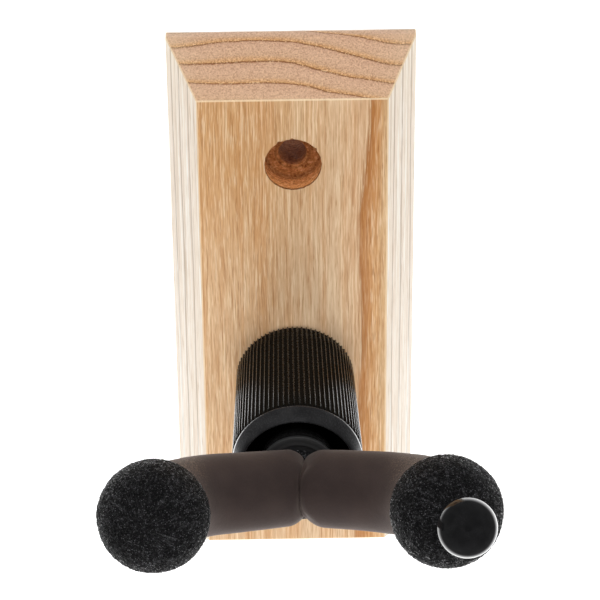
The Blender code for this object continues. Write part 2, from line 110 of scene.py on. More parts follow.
def arm_point(distance):
    """Place (across, forward) and heading on an arm's centre line, measured from the middle."""
    heading = min(distance, MIDDLE_ARC) / MIDDLE_BEND
    across = MIDDLE_BEND * math.sin(heading)
    forward = MIDDLE_RISE + MIDDLE_BEND * (1 - math.cos(heading))
    distance -= MIDDLE_ARC
    if distance > 0:
        run = min(distance, INNER_RUN)
        across += run * math.cos(heading)
        forward += run * math.sin(heading)
        distance -= INNER_RUN
    if distance > 0:
        heading = SPREAD_ANGLE + min(distance, ELBOW_ARC) / ELBOW_BEND
        across += ELBOW_BEND * (math.sin(heading) - math.sin(SPREAD_ANGLE))
        forward += ELBOW_BEND * (math.cos(SPREAD_ANGLE) - math.cos(heading))
        distance -= ELBOW_ARC
    if distance > 0:
        across += distance * math.cos(heading)
        forward += distance * math.sin(heading)
    return across, forward, heading


def sleeve_point(distance):
    """The same on a sleeve's centre line, measured from the V's vertex: straight up to the elbow."""
    if distance <= INNER_STRETCH:
        return distance * math.cos(SPREAD_ANGLE), distance * math.sin(SPREAD_ANGLE), SPREAD_ANGLE
    return arm_point(distance - CORNER_CUT)


def arm_end(side):
    """Frame at a foam ball's centre whose Z axis points out along the arm."""
    across, forward, heading = arm_point(ARM_LENGTH)
    turn = Matrix.Rotation(side * (math.pi / 2 - heading), 4, "Y")
    return YOKE @ Matrix.Translation((side * across * MM, 0, forward * MM)) @ turn


# ---- mesh building (millimetres)


def smoothstep(low, high, value):
    """Smooth step from 0 at low to 1 at high."""
    share = np.clip((np.asarray(value, float) - low) / (high - low), 0, 1)
    return share * share * (3 - 2 * share)


def signed_volume(points, faces):
    """Six times the volume inside the faces, below zero if they face inwards."""
    corners = points[faces]
    first, second, third = corners[:, 0], corners[:, 1], corners[:, 2]
    return np.einsum("ij,ij->i", first, np.cross(second, third)).sum()


def skin(name, grid, matrix, surface, body, replaced, loop=False, sharp=38.0):
    """Close a grid of rings (rows, columns, 3) into a smooth solid that rides on a body."""
    rows, columns = grid.shape[:2]
    index = np.arange(rows * columns).reshape(rows, columns)
    above = index if loop else index[:-1]
    below = np.roll(index, -1, axis=0) if loop else index[1:]
    right_above, right_below = np.roll(above, -1, axis=1), np.roll(below, -1, axis=1)
    triangles = [
        np.stack([above, below, right_below], -1).reshape(-1, 3),
        np.stack([above, right_below, right_above], -1).reshape(-1, 3),
    ]
    quads = np.stack([above, below, right_below, right_above], -1).reshape(-1, 4)
    points = grid.reshape(-1, 3)
    caps = np.zeros((0, 3), int)
    if not loop:
        first, last = len(points), len(points) + 1
        points = np.vstack([points, grid[0].mean(0), grid[-1].mean(0)])
        start = np.stack([np.roll(index[0], -1), np.full(columns, first), index[0]], -1)
        end = np.stack([index[-1], np.full(columns, last), np.roll(index[-1], -1)], -1)
        caps = np.vstack([start, end])
    every = np.vstack(triangles + [caps])
    if signed_volume(points - points.mean(0), every) < 0:
        quads, caps = quads[:, ::-1], caps[:, ::-1]
    mesh = bpy.data.meshes.new(name)
    mesh.from_pydata((points * MM).tolist(), [], quads.tolist() + caps.tolist())
    return finish_piece(name, mesh, matrix, surface, body, replaced, sharp)


def placed(name, data, matrix=None):
    """New object in the scene."""
    item = bpy.data.objects.new(name, data)
    bpy.context.scene.collection.objects.link(item)
    if matrix is not None:
        item.matrix_world = matrix
    return item


def finish_piece(name, mesh, matrix, surface, body, replaced, sharp):
    """Piece that rides on a body and stands in for the replaced CAD pieces."""
    mesh.validate()
    mesh.shade_smooth()
    mesh.set_sharp_from_angle(angle=math.radians(sharp))
    mesh.materials.append(surface)
    piece = placed(name, mesh, matrix)
    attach(piece, body)
    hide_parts(*replaced)
    return piece


def rounded(outline, loop=False, steps=4):
    """Points (station, radius) of an outline of (station, radius, corner radius), its corners rounded."""
    points = [np.array(item[:2], float) for item in outline]
    made = []
    count = len(outline)
    for step, item in enumerate(outline):
        size = item[2] if len(item) > 2 else 0
        if size <= 0 or (not loop and step in (0, count - 1)):
            made.append(points[step])
            continue
        here, before, after = points[step], points[step - 1], points[(step + 1) % count]
        back, on = before - here, after - here
        reach_back = min(size, np.linalg.norm(back) * 0.48)
        reach_on = min(size, np.linalg.norm(on) * 0.48)
        start = here + back / np.linalg.norm(back) * reach_back
        end = here + on / np.linalg.norm(on) * reach_on
        for share in np.linspace(0, 1, steps + 1):
            made.append((1 - share) ** 2 * start + 2 * share * (1 - share) * here + share**2 * end)
    return np.array(made)


def turned(stations, radii, angles):
    """Points of a turned piece, with stations along Z."""
    return np.stack([radii * np.cos(angles), radii * np.sin(angles), stations], -1)


def revolve(outline, columns, modulate=None):
    """Rings of a turned piece. modulate(stations, radii, angles) may change the radii."""
    outline = np.asarray(outline, float)
    stations, angles = np.meshgrid(outline[:, 0], np.arange(columns) * TAU / columns, indexing="ij")
    radii = np.repeat(outline[:, 1:2], columns, axis=1)
    if modulate is not None:
        radii = modulate(stations, radii, angles)
    return turned(stations, radii, angles)


def sampled(outline, pitch):
    """The same outline with extra points, so that none is further than pitch from the next."""
    made = [outline[0]]
    for start, end in zip(outline, outline[1:]):
        count = max(1, int(math.ceil(np.linalg.norm(end - start) / pitch)))
        for step in range(1, count + 1):
            made.append(start + (end - start) * step / count)
    return np.array(made)


def field(points, size):
    """Noise at every point of an array, with features of about that size."""
    flat = points.reshape(-1, 3) / size
    values = np.array([noise.noise(Vector(point)) for point in flat])
    return values.reshape(points.shape[:-1])


# ---- materials


def srgb(red, green, blue):
    """Scene-linear colour of an 8-bit screen colour."""
    made = []
    for value in (red, green, blue):
        share = value / 255
        made.append(share / 12.92 if share <= 0.04045 else ((share + 0.055) / 1.055) ** 2.4)
    return (*made, 1.0)


class Nodes:
    """Nodes of a material or of the world."""

    def __init__(self, owner):
        owner.use_nodes = True
        self.tree = owner.node_tree

    def add(self, kind, inputs=None, **settings):
        node = self.tree.nodes.new(kind)
        for key, value in settings.items():
            setattr(node, key, value)
        for key, value in (inputs or {}).items():
            self.feed(node.inputs[key], value)
        return node

    def feed(self, socket, value):
        if isinstance(value, bpy.types.NodeSocket):
            self.tree.links.new(value, socket)
        else:
            socket.default_value = value

    def math(self, operation, *values):
        return self.add("ShaderNodeMath", dict(enumerate(values)), operation=operation).outputs[0]

    def plus(self, first, second):
        return self.math("ADD", first, second)

    def minus(self, first, second):
        return self.math("SUBTRACT", first, second)

    def times(self, first, second):
        return self.math("MULTIPLY", first, second)

    def over(self, first, second):
        return self.math("DIVIDE", first, second)

    def most(self, first, second):
        return self.math("MAXIMUM", first, second)

    def size(self, value):
        return self.math("ABSOLUTE", value)

    def length(self, first, second):
        return self.math("SQRT", self.plus(self.times(first, first), self.times(second, second)))

    def average(self, first, second):
        return self.times(self.plus(first, second), 0.5)

    def scaled(self, vector, factor):
        inputs = {0: vector, "Scale": factor}
        return self.add("ShaderNodeVectorMath", inputs, operation="SCALE").outputs[0]

    def split(self, vector):
        return self.add("ShaderNodeSeparateXYZ", {0: vector}).outputs[:]

    def join(self, x, y, z):
        return self.add("ShaderNodeCombineXYZ", {0: x, 1: y, 2: z}).outputs[0]

    def noise(self, vector, scale, detail=2.0, roughness=0.5):
        inputs = {"Vector": vector, "Scale": scale, "Detail": detail, "Roughness": roughness}
        return self.add("ShaderNodeTexNoise", inputs).outputs["Fac"]

    def voronoi(self, vector, scale, feature="F1", output="Distance"):
        inputs = {"Vector": vector, "Scale": scale}
        return self.add("ShaderNodeTexVoronoi", inputs, feature=feature).outputs[output]

    def span(self, value, low, high, to_low=0.0, to_high=1.0):
        """Map a value's range smoothly onto another, held at the ends."""
        inputs = {0: value, 1: low, 2: high, 3: to_low, 4: to_high}
        return self.add("ShaderNodeMapRange", inputs, interpolation_type="SMOOTHSTEP").outputs[0]

    def mix(self, factor, first, second):
        return self.add("ShaderNodeMix", {0: factor, 6: first, 7: second}, data_type="RGBA").outputs[2]

    def layers(self, colour, *layers):
        """A colour with other colours laid over it in turn, each as (share, colour)."""
        for share, tint in layers:
            colour = self.mix(share, colour, tint)
        return colour

    def ramp(self, value, *stops):
        """Colour ramp through stops of (position, red, green, blue)."""
        node = self.add("ShaderNodeValToRGB", {0: value})
        elements = node.color_ramp.elements
        while len(elements) < len(stops):
            elements.new(1.0)
        for element, (position, *colour) in zip(elements, stops):
            element.position = position
            element.color = srgb(*colour)
        return node.outputs[0]


class Graph(Nodes):
    """A material's nodes. Lengths inside it are in millimetres of the piece's own frame."""

    def __init__(self, name):
        self.material = bpy.data.materials.new(name)
        super().__init__(self.material)
        self.shader = self.tree.nodes["Principled BSDF"]
        place = self.add("ShaderNodeTexCoord").outputs["Object"]
        self.place = self.scaled(place, 1 / MM)

    def facing(self):
        """0 where a surface is seen straight on, 1 at its outline."""
        return self.add("ShaderNodeLayerWeight", {"Blend": 0.5}).outputs["Facing"]

    def stretched(self, *sizes):
        """The place with its coordinates multiplied: a pattern is drawn out along the small ones."""
        return self.join(*[self.times(part, size) for part, size in zip(self.split(self.place), sizes)])

    def bump(self, height, distance, strength=1.0):
        """Bump of a height of 0 to 1 that stands for distance millimetres."""
        inputs = {"Height": height, "Distance": distance * MM, "Strength": strength}
        return self.add("ShaderNodeBump", inputs).outputs[0]

    def surface(self, **inputs):
        for key, value in inputs.items():
            self.feed(self.shader.inputs[key.replace("_", " ")], value)
        return self.material


RING_SPACING = 6.1
RING_LINE = 19.6  # distance from the wall of one growth-ring line at the block's left side
GRAINS_PER_MM = 2.3  # of the black foam


def grain(g, across, depth, z, width, length, scale, detail=2.0, roughness=0.5):
    """Noise of features that are drawn out along the board, by length to width."""
    place = g.join(g.over(across, width), g.over(depth, width), g.over(z, length))
    return g.noise(place, scale, detail, roughness)


def growth_rings(g, x, depth, z):
    """Share of the way through its ring, and share of a ring to the nearest ring line.

    The rings lie across the board's depth and rise to the front on the right.
    """
    lean = g.times(g.span(z, 0.0, 76.0), 2.2)
    sway = g.times(g.minus(grain(g, x, depth, z, 15.0, 70.0, 1.0, 1.0), 0.5), 1.8)
    drift = g.times(g.span(g.minus(x, lean), -8.0, 30.0), 7.5)
    edge = g.times(g.span(x, -14.0, -35.0), g.span(depth, 12.5, 8.0, 0.0, 1.7))
    jag = g.times(g.minus(grain(g, x, depth, z, 1.0, 22.0, 0.9, 3.0), 0.5), 0.55)
    settle = g.times(g.span(depth, 21.0, 25.0), g.span(x, 14.0, 4.0, 0.0, 1.2))
    wide = g.span(depth, 18.0, 6.0, 0.0, -1.7)
    ring = g.minus(RING_LINE, depth)
    for term in (drift, edge, settle, wide, sway, jag):
        ring = g.plus(ring, term)
    share = g.over(g.math("FLOORED_MODULO", ring, RING_SPACING), RING_SPACING)
    return share, g.math("MINIMUM", share, g.minus(1.0, share))


def long_grain(g, x, depth, z, share):
    """Colour, fine streaks and relief of a face along the grain."""
    warp = g.times(g.minus(grain(g, x, depth, z, 9.0, 48.0, 1.0), 0.5), 2.0)
    across = g.plus(x, warp)
    band = grain(g, across, depth, z, 1.0, 70.0, 0.20)
    fibre = grain(g, across, depth, z, 1.0, 42.0, 1.5, 4.0, 0.68)
    fine = grain(g, across, depth, z, 1.0, 20.0, 3.1, 2.0, 0.6)
    pore = grain(g, across, depth, z, 1.0, 17.0, 3.2, 1.0)
    porous = g.span(share, 0.36, 0.02, 0.16, 1.0)
    base = g.ramp(
        share,
        (0.0, 150, 98, 58), (0.03, 176, 118, 70), (0.07, 202, 146, 92), (0.22, 208, 158, 106),
        (0.42, 216, 178, 136), (0.80, 220, 184, 146), (0.96, 212, 170, 130), (0.995, 172, 120, 76),
    )
    # Painted light: the front is lightened towards the bottom, most in the middle behind the cup, yoke and
    # foam, against the shade they cast.
    lower = g.span(z, 62.0, 0.0, 0.0, 0.52)
    centre = g.span(x, 21.0, 14.0)
    light, dark = srgb(244, 218, 182), srgb(172, 116, 66)
    colour = g.layers(
        base,
        (g.times(lower, g.plus(0.35, g.times(centre, 0.65))), srgb(224, 194, 160)),
        (g.times(g.span(x, 19.5, 25.0, 0.0, 0.8), g.span(share, 0.05, 0.18)), srgb(208, 170, 126)),
        (g.span(band, 0.54, 0.40, 0.0, 0.38), srgb(206, 144, 84)),
        (g.span(fibre, 0.51, 0.68, 0.0, 0.70), light),
        (g.span(fibre, 0.49, 0.32, 0.0, 0.62), dark),
        (g.span(fine, 0.52, 0.70, 0.0, 0.55), light),
        (g.span(fine, 0.46, 0.28, 0.0, 0.55), dark),
        (g.times(g.times(g.span(pore, 0.42, 0.28), porous), 0.62), srgb(146, 92, 48)),
        (g.times(g.times(g.span(pore, 0.60, 0.76), porous), 0.5), srgb(244, 204, 146)),
        (g.times(g.span(x, 15.0, 18.0), g.span(share, 0.17, 0.02, 0.0, 0.60)), srgb(180, 118, 62)),
    )
    relief = g.plus(g.times(fine, 0.5), g.times(g.span(pore, 0.30, 0.44), porous))
    return colour, fine, relief


def end_grain(g, x, depth, z, share):
    """Colour of the board's ends: ring lines, with louder specks beside them, and a painted highlight along
    the wall-side edge.
    """
    base = g.ramp(
        share,
        (0.0, 108, 66, 38), (0.03, 150, 102, 64), (0.055, 208, 156, 104), (0.13, 212, 164, 118),
        (0.28, 208, 168, 136), (0.60, 214, 174, 144), (0.94, 206, 164, 136), (0.985, 184, 136, 100),
        (0.998, 118, 74, 42),
    )
    speck = g.noise(g.join(x, g.times(depth, 0.8), z), 2.1, 2.0, 0.65)
    loud = g.span(share, 0.26, 0.04, 0.62, 1.0)
    return g.layers(
        base,
        (g.times(g.times(g.span(speck, 0.48, 0.36), loud), 0.66), srgb(146, 98, 64)),
        (g.times(g.times(g.span(speck, 0.53, 0.66), loud), 0.66), srgb(250, 214, 170)),
        # Painted highlight: a pale strip along the wall-side edge.
        (g.span(depth, 1.2, 0.5, 0.0, 0.8), srgb(252, 244, 230)),
    )


def side_grain_and_sheen(g, x, depth, z, near_line, colour):
    """Colour of the board's sides: painted paler as sheen, with ring lines, rays and short dashes along the
    grain.
    """
    ray = g.noise(g.join(depth, 0.0, g.over(z, 60.0)), 0.75, 3.0, 0.6)
    dash = g.noise(g.join(g.times(depth, 2.6), g.times(x, 0.4), g.over(z, 9.0)), 1.0, 2.0, 0.6)
    white = srgb(255, 252, 244)
    return g.layers(
        colour,
        # Painted sheen: the whole side is made paler and whiter.
        (0.80, srgb(250, 240, 226)),
        (g.span(near_line, 0.10, 0.02, 0.0, 0.75), srgb(178, 154, 130)),
        (g.span(ray, 0.46, 0.34, 0.0, 0.70), srgb(208, 188, 166)),
        (g.span(ray, 0.54, 0.66, 0.0, 0.8), white),
        (g.span(dash, 0.46, 0.30, 0.0, 0.60), srgb(196, 168, 136)),
        (g.span(dash, 0.56, 0.70, 0.0, 0.60), white),
    )


def ash_wood():
    """Ring-porous wood, with its own colours on faces and ends, painted light on the lower front, sides
    painted paler as sheen, and painted highlights on the softened edges.
    """
    g = Graph("ash_wood")
    x, y, z = g.split(g.place)
    depth = g.times(y, -1.0)
    share, near_line = growth_rings(g, x, depth, z)
    colour, fine, relief = long_grain(g, x, depth, z, share)
    sideways, _, upright = g.split(g.add("ShaderNodeNewGeometry").outputs["Normal"])
    sideways, upright = g.size(sideways), g.size(upright)
    colour = g.mix(g.span(upright, 0.70, 0.90), colour, end_grain(g, x, depth, z, share))
    # Painted sheen: the side bevels take a paler colour.
    colour = g.mix(g.span(sideways, 0.70, 0.90), colour, side_grain_and_sheen(g, x, depth, z, near_line, colour))
    # Painted highlight: pale lines along the softened edges.
    arrises = [g.times(g.span(part, 0.08, 0.25), g.span(part, 0.88, 0.70)) for part in (sideways, upright)]
    colour = g.mix(g.times(g.most(*arrises), 0.6), colour, srgb(252, 232, 196))
    return g.surface(
        Base_Color=colour,
        Roughness=g.span(fine, 0.25, 0.75, 0.48, 0.66),
        Normal=g.bump(relief, 0.045, 0.8),
        Specular_IOR_Level=0.32,
    )


def bored_wood():
    """Inside of the drilled holes: torn fibres, redder than the faces and scorched near the rims, with painted
    shade in the counterbores' corners and deep in the holes.
    """
    g = Graph("bored_wood")
    x, y, z = g.split(g.place)
    grit = g.noise(g.place, 1.6, 4.0, 0.7)
    tear = g.noise(g.join(x, g.times(y, 3.5), z), 0.7, 3.0, 0.6)
    height = g.minus(g.size(z), SCREW_HEIGHT)
    radius = g.length(x, height)
    marks = g.noise(g.join(radius, g.times(y, 0.5), 0.0), 1.5, 2.0, 0.7)
    base = g.ramp(
        g.average(grit, tear),
        (0.34, 104, 56, 28), (0.46, 190, 124, 72), (0.56, 220, 154, 98), (0.70, 248, 206, 158),
    )
    # Painted shade in the corner where each counterbore's floor meets its wall.
    corner = g.times(g.span(radius, 6.6, 7.6), g.span(y, -19.4, -18.2))
    scorch = g.times(g.span(y, -24.1, -25.0), g.span(grit, 0.36, 0.50))
    colour = g.layers(
        base,
        (g.span(marks, 0.46, 0.36, 0.0, 0.32), srgb(96, 52, 28)),
        (g.times(corner, 0.35), srgb(78, 40, 20)),
        # Painted shade: darker deeper than 16.4 mm into the holes.
        (g.span(y, -17.4, -16.4, 0.0, 0.35), srgb(110, 70, 50)),
        (g.times(scorch, 0.85), srgb(62, 34, 18)),
    )
    return g.surface(
        Base_Color=colour,
        Roughness=g.span(grit, 0.3, 0.7, 0.65, 0.9),
        Normal=g.bump(g.plus(grit, tear), 0.12, 1.0),
        Specular_IOR_Level=0.2,
    )


def moulded_plastic(name, dark, light, rough_low, rough_high):
    """Moulded plastic: a fine spark-eroded grain and slow patches of gloss."""
    g = Graph(name)
    cloud = g.noise(g.place, 0.16, 3.0, 0.55)
    fine = g.noise(g.place, 1.5, 3.0, 0.65)
    colour = g.mix(g.span(cloud, 0.3, 0.7), dark, light)
    colour = g.mix(g.span(fine, 0.60, 0.80, 0.0, 0.35), colour, light)
    rough = g.span(g.average(cloud, fine), 0.3, 0.7, rough_low, rough_high)
    return g.surface(Base_Color=colour, Roughness=rough, Normal=g.bump(fine, 0.02, 1.0))


def ribbed_plastic():
    """Black moulded plastic of the cup: rubbed rib crests, dull grooves painted darker towards the outline as
    shade, a greyer rim with a painted sheen towards its outline, and a recess painted lighter against its
    shade.
    """
    g = Graph("cup_plastic")
    x, y, z = g.split(g.place)
    radius = g.length(x, y)
    slope = CUP_FLARE / (CUP_RIB_END - CUP_BACK)
    height = g.minus(radius, g.math("MULTIPLY_ADD", z, slope, CUP_RADIUS - slope * CUP_BACK))
    cloud = g.noise(g.place, 0.16, 3.0, 0.55)
    fine = g.noise(g.place, 2.2, 3.0, 0.65)
    facing = g.facing()
    mottle = g.span(cloud, 0.3, 0.7)

    ribbed = g.span(z, CUP_RIB_END + 0.05, CUP_RIB_END - 0.05)
    smooth = g.minus(1.0, ribbed)
    crest = g.times(ribbed, g.span(height, -0.17, -0.05))
    # Painted light: the recess's floor and wall, and the boss's side below 71.2 mm, are lifted out of the
    # shade they lie in.
    inside = g.times(g.span(radius, 16.0, 15.6), g.span(z, 73.6, 72.0))
    boss = g.mix(g.span(z, 71.2, 71.6), srgb(40, 40, 40), srgb(10, 10, 10))
    recess = g.mix(g.span(radius, 10.3, 11.0), boss, srgb(110, 110, 111))
    rim = g.mix(mottle, srgb(36, 36, 37), srgb(48, 48, 49))
    # Painted sheen: the rim is lightened towards its outline.
    rim = g.layers(rim, (g.span(facing, 0.30, 0.60, 0.0, 0.5), srgb(72, 72, 73)), (inside, recess))
    # Painted shade: the grooves darken to near black towards the outline, where the ribs shade them.
    groove = g.mix(g.span(facing, 0.50, 0.66), srgb(23, 21, 18), srgb(5, 5, 5))
    ribs = g.mix(crest, groove, g.mix(mottle, srgb(22, 23, 20), srgb(31, 31, 28)))
    specks = g.times(g.span(fine, 0.56, 0.80, 0.0, 0.30), g.most(crest, smooth))
    colour = g.layers(rim, (ribbed, ribs), (specks, srgb(84, 84, 84)))

    rubbed = g.times(g.span(facing, 0.50, 0.80), crest)
    shine = g.math("MULTIPLY_ADD", rubbed, 0.9, g.span(facing, 0.52, 0.86, 0.08, 0.6))
    shine = g.times(shine, g.most(smooth, g.span(crest, 0.0, 1.0, 0.1, 1.0)))
    lip = g.times(
        g.span(z, CUP_RIB_END + 0.6, CUP_RIB_END + 0.9), g.span(z, CUP_RIB_END + 2.1, CUP_RIB_END + 1.5)
    )
    lip = g.times(lip, g.span(g.over(g.size(x), radius), 0.40, 0.75))
    return g.surface(
        Base_Color=colour,
        Roughness=g.span(fine, 0.3, 0.7, 0.20, 0.32),
        Normal=g.bump(fine, 0.007, 1.0),
        Specular_IOR_Level=shine,
        Coat_Weight=g.most(rubbed, g.times(g.span(facing, 0.36, 0.66), lip)),
        Coat_Roughness=0.14,
        Coat_IOR=2.6,
    )


def turned_plastic(name, dark, light):
    """Turned plastic face: faint rings about the piece's own Z axis."""
    g = Graph(name)
    x, y, z = g.split(g.place)
    wobble = g.times(g.noise(g.place, 0.4, 2.0), 0.5)
    rings = g.noise(g.join(g.plus(g.length(x, y), wobble), z, 0.0), 2.0, 2.0, 0.6)
    fine = g.noise(g.place, 2.4, 3.0, 0.6)
    colour = g.mix(g.span(rings, 0.35, 0.65), dark, light)
    colour = g.mix(g.span(fine, 0.55, 0.8, 0.0, 0.3), colour, light)
    return g.surface(
        Base_Color=colour,
        Roughness=g.span(rings, 0.3, 0.7, 0.38, 0.58),
        Normal=g.bump(g.plus(rings, fine), 0.02, 0.8),
    )


def sleeve_foam():
    """Dense brown foam rubber with a fine closed-cell skin, and coarser grit towards the balls."""
    g = Graph("brown_foam")
    x, _, _ = g.split(g.place)
    cells = g.voronoi(g.place, 2.6, "SMOOTH_F1")
    fine = g.noise(g.place, 3.6, 3.0, 0.65)
    cloud = g.noise(g.place, 0.11, 3.0, 0.5)
    grit = g.noise(g.place, 2.6, 2.0, 0.7)
    outer = g.span(g.size(x), 22.0, 31.0)
    colour = g.layers(
        srgb(54, 44, 42),
        (g.span(cloud, 0.3, 0.7), srgb(62, 51, 48)),
        (g.span(fine, 0.54, 0.74, 0.0, 0.5), srgb(84, 71, 65)),
        (g.span(cells, 0.25, 0.05, 0.0, 0.35), srgb(40, 33, 31)),
        (g.times(outer, g.span(grit, 0.52, 0.66)), srgb(140, 118, 98)),
        (g.times(outer, g.span(grit, 0.46, 0.32)), srgb(30, 22, 19)),
    )
    return g.surface(
        Base_Color=colour,
        Roughness=g.span(fine, 0.3, 0.7, 0.62, 0.85),
        Normal=g.bump(g.plus(g.times(cells, 0.6), g.times(fine, 0.7)), 0.035, 0.9),
        Specular_IOR_Level=0.35,
        Sheen_Weight=0.34,
        Sheen_Roughness=0.45,
        Sheen_Tint=srgb(214, 198, 188),
    )


def pebbled_foam():
    """Black foam with a pebbled open-cell surface: pale grains painted as glints, brighter towards the
    outline, between pits with painted shade.
    """
    g = Graph("black_foam")
    x, y, z = g.split(g.place)
    swirl = g.add("ShaderNodeTexNoise", {"Vector": g.place, "Scale": 0.8}).outputs["Color"]
    swirled = {0: g.place, 1: g.scaled(swirl, 0.5)}
    place = g.add("ShaderNodeVectorMath", swirled, operation="ADD").outputs[0]
    grain_centre = g.voronoi(place, GRAINS_PER_MM)
    lot = g.split(g.voronoi(place, GRAINS_PER_MM, output="Color"))[0]
    edge = g.voronoi(place, GRAINS_PER_MM, "DISTANCE_TO_EDGE")
    fine = g.noise(g.place, 4.2, 3.0, 0.7)
    cloud = g.noise(g.place, 0.22, 2.0, 0.5)
    facing = g.facing()
    reach = g.plus(g.length(x, y), 0.4)
    streak = g.noise(g.join(g.over(x, reach), g.over(y, reach), g.times(z, 0.03)), 17.0, 3.0, 0.6)
    # Painted glints: the pale spots on the grains, white towards the outline.
    speck = g.times(g.span(grain_centre, 0.38, 0.14), g.span(lot, 0.35, 0.85))
    painted_glint = g.mix(g.span(facing, 0.25, 0.75), srgb(132, 132, 136), srgb(255, 255, 255))
    colour = g.layers(
        srgb(6, 6, 7),
        (g.span(fine, 0.35, 0.65), srgb(36, 36, 37)),
        (g.times(g.span(streak, 0.52, 0.64), g.span(facing, 0.7, 0.4, 0.0, 0.75)), srgb(92, 92, 94)),
        (g.times(speck, 0.9), painted_glint),
        # Painted shade in the crevices between the grains.
        (g.times(g.span(edge, 0.16, 0.03), 0.85), srgb(3, 3, 4)),
        (g.span(cloud, 0.42, 0.65, 0.0, 0.35), srgb(12, 12, 13)),
    )
    return g.surface(
        Base_Color=colour,
        Roughness=g.span(lot, 0.2, 0.9, 0.62, 0.28),
        Normal=g.bump(g.plus(g.span(edge, 0.0, 0.24), g.times(fine, 0.7)), 0.20, 1.0),
        Specular_IOR_Level=g.span(speck, 0.0, 0.8, 0.35, 1.0),
    )


def glossy_plastic():
    """Polished black plastic with faint handling marks."""
    g = Graph("peg_plastic")
    cloud = g.noise(g.place, 0.35, 3.0, 0.5)
    hair = g.noise(g.stretched(4.0, 0.35, 1.2), 1.0, 3.0, 0.7)
    return g.surface(
        Base_Color=g.mix(g.span(cloud, 0.3, 0.7), srgb(17, 17, 18), srgb(25, 25, 26)),
        Roughness=g.plus(g.span(cloud, 0.3, 0.7, 0.05, 0.10), g.span(hair, 0.62, 0.75, 0.0, 0.10)),
        Normal=g.bump(hair, 0.0015, 0.5),
        Specular_IOR_Level=0.32,
    )


def metal(name, dark, light, rough_low, rough_high, metallic=1.0):
    """Plated, painted or turned metal with fine tool lines and slow tarnish."""
    g = Graph(name)
    lines = g.noise(g.stretched(1.0, 1.0, 0.15), 3.0, 3.0, 0.7)
    cloud = g.noise(g.place, 0.25, 4.0, 0.6)
    colour = g.mix(g.span(cloud, 0.3, 0.7), dark, light)
    colour = g.mix(g.span(lines, 0.35, 0.6, 0.35, 0.0), colour, dark)
    rough = g.span(g.average(lines, cloud), 0.3, 0.7, rough_low, rough_high)
    return g.surface(Base_Color=colour, Roughness=rough, Metallic=metallic, Normal=g.bump(lines, 0.01, 0.7))


WOOD = ash_wood()
BORED = bored_wood()
CUP = ribbed_plastic()
ACETAL = turned_plastic("bushing_acetal", srgb(50, 50, 50), srgb(66, 66, 66))
NYLON = moulded_plastic("bushing_nylon", srgb(222, 216, 202), srgb(238, 234, 222), 0.40, 0.58)
BLUE_NYLON = moulded_plastic("nut_nylon", srgb(70, 110, 168), srgb(96, 136, 190), 0.35, 0.5)
ZINC = metal("zinc_steel", srgb(150, 150, 146), srgb(200, 202, 204), 0.24, 0.42)
SPRING = metal("spring_steel", srgb(70, 70, 74), srgb(120, 120, 124), 0.28, 0.46)
BLACK_STEEL = metal("black_steel", srgb(30, 30, 31), srgb(48, 48, 50), 0.35, 0.55, metallic=0.3)
BRASS = metal("insert_brass", srgb(176, 140, 70), srgb(226, 192, 116), 0.22, 0.40)
BROWN_FOAM = sleeve_foam()
BLACK_FOAM = pebbled_foam()
GLOSS = glossy_plastic()


# ---- block


def bored_cutter(name, outline, columns, matrix, roughness, chips):
    """Cutter whose wall is slightly torn, and whose rim has lost small chips near the block's front."""
    path = sampled(np.array(outline, float), 0.55)
    rim = BLOCK_DEPTH

    def torn(stations, radii, angles):
        points = turned(stations * 0.6, radii, angles)
        wear = field(points, 0.8) * roughness
        near = smoothstep(rim - 0.9, rim, stations) * smoothstep(3.0, 6.0, radii)
        bite = np.clip(field(points + 31.0, 0.9) - 0.10, 0, 1)
        bite = bite * smoothstep(-0.3, 0.6, np.sin(angles))
        return np.where(radii > 0.5, radii + wear + near * bite * chips, radii)

    grid = revolve(path, columns, torn)
    bottom = smoothstep(0.4, 1.2, path[:, 1])[:, None] * (path[:, 0] < rim - 0.2)[:, None]
    grid[..., 2] += field(grid, 1.1) * roughness * 0.8 * bottom
    made = bpy.data.meshes.new(name)
    rows = len(path)
    index = np.arange(rows * columns).reshape(rows, columns)
    above, below = index[:-1], index[1:]
    quads = np.stack([above, np.roll(above, -1, 1), np.roll(below, -1, 1), below], -1).reshape(-1, 4)
    caps = [index[0].tolist(), index[-1][::-1].tolist()]
    made.from_pydata((grid.reshape(-1, 3) * MM).tolist(), [], quads.tolist() + caps)
    made.materials.append(BORED)
    return placed(name, made, matrix)


def plain_block():
    """The board with its four bevels and softened arrises."""
    half_width, half_height = BLOCK_WIDTH / 2, BLOCK_HEIGHT / 2
    levels = ((0.0, 0.0, 0.0), (BLOCK_LAND, 0.0, 0.0), (BLOCK_DEPTH, SIDE_BEVEL, END_BEVEL))
    points = []
    for out, side_inset, end_inset in levels:
        for x, z in SQUARE:
            points.append((x * (half_width - side_inset) * MM, -out * MM, z * (half_height - end_inset) * MM))
    faces = [(3, 2, 1, 0), (8, 9, 10, 11)]
    for level in (0, 4):
        for step in range(4):
            following = (step + 1) % 4
            faces.append((level + step, level + following, level + 4 + following, level + 4 + step))
    mesh = bpy.data.meshes.new("backing_block_body")
    mesh.from_pydata(points, [], faces)
    mesh.materials.append(WOOD)
    mesh.materials.append(BORED)
    block = placed("backing_block_body", mesh)
    arris = block.modifiers.new("arris", "BEVEL")
    arris.width = ARRIS_WIDTH * MM
    arris.segments = 3
    arris.limit_method = "ANGLE"
    arris.angle_limit = math.radians(15)
    return block


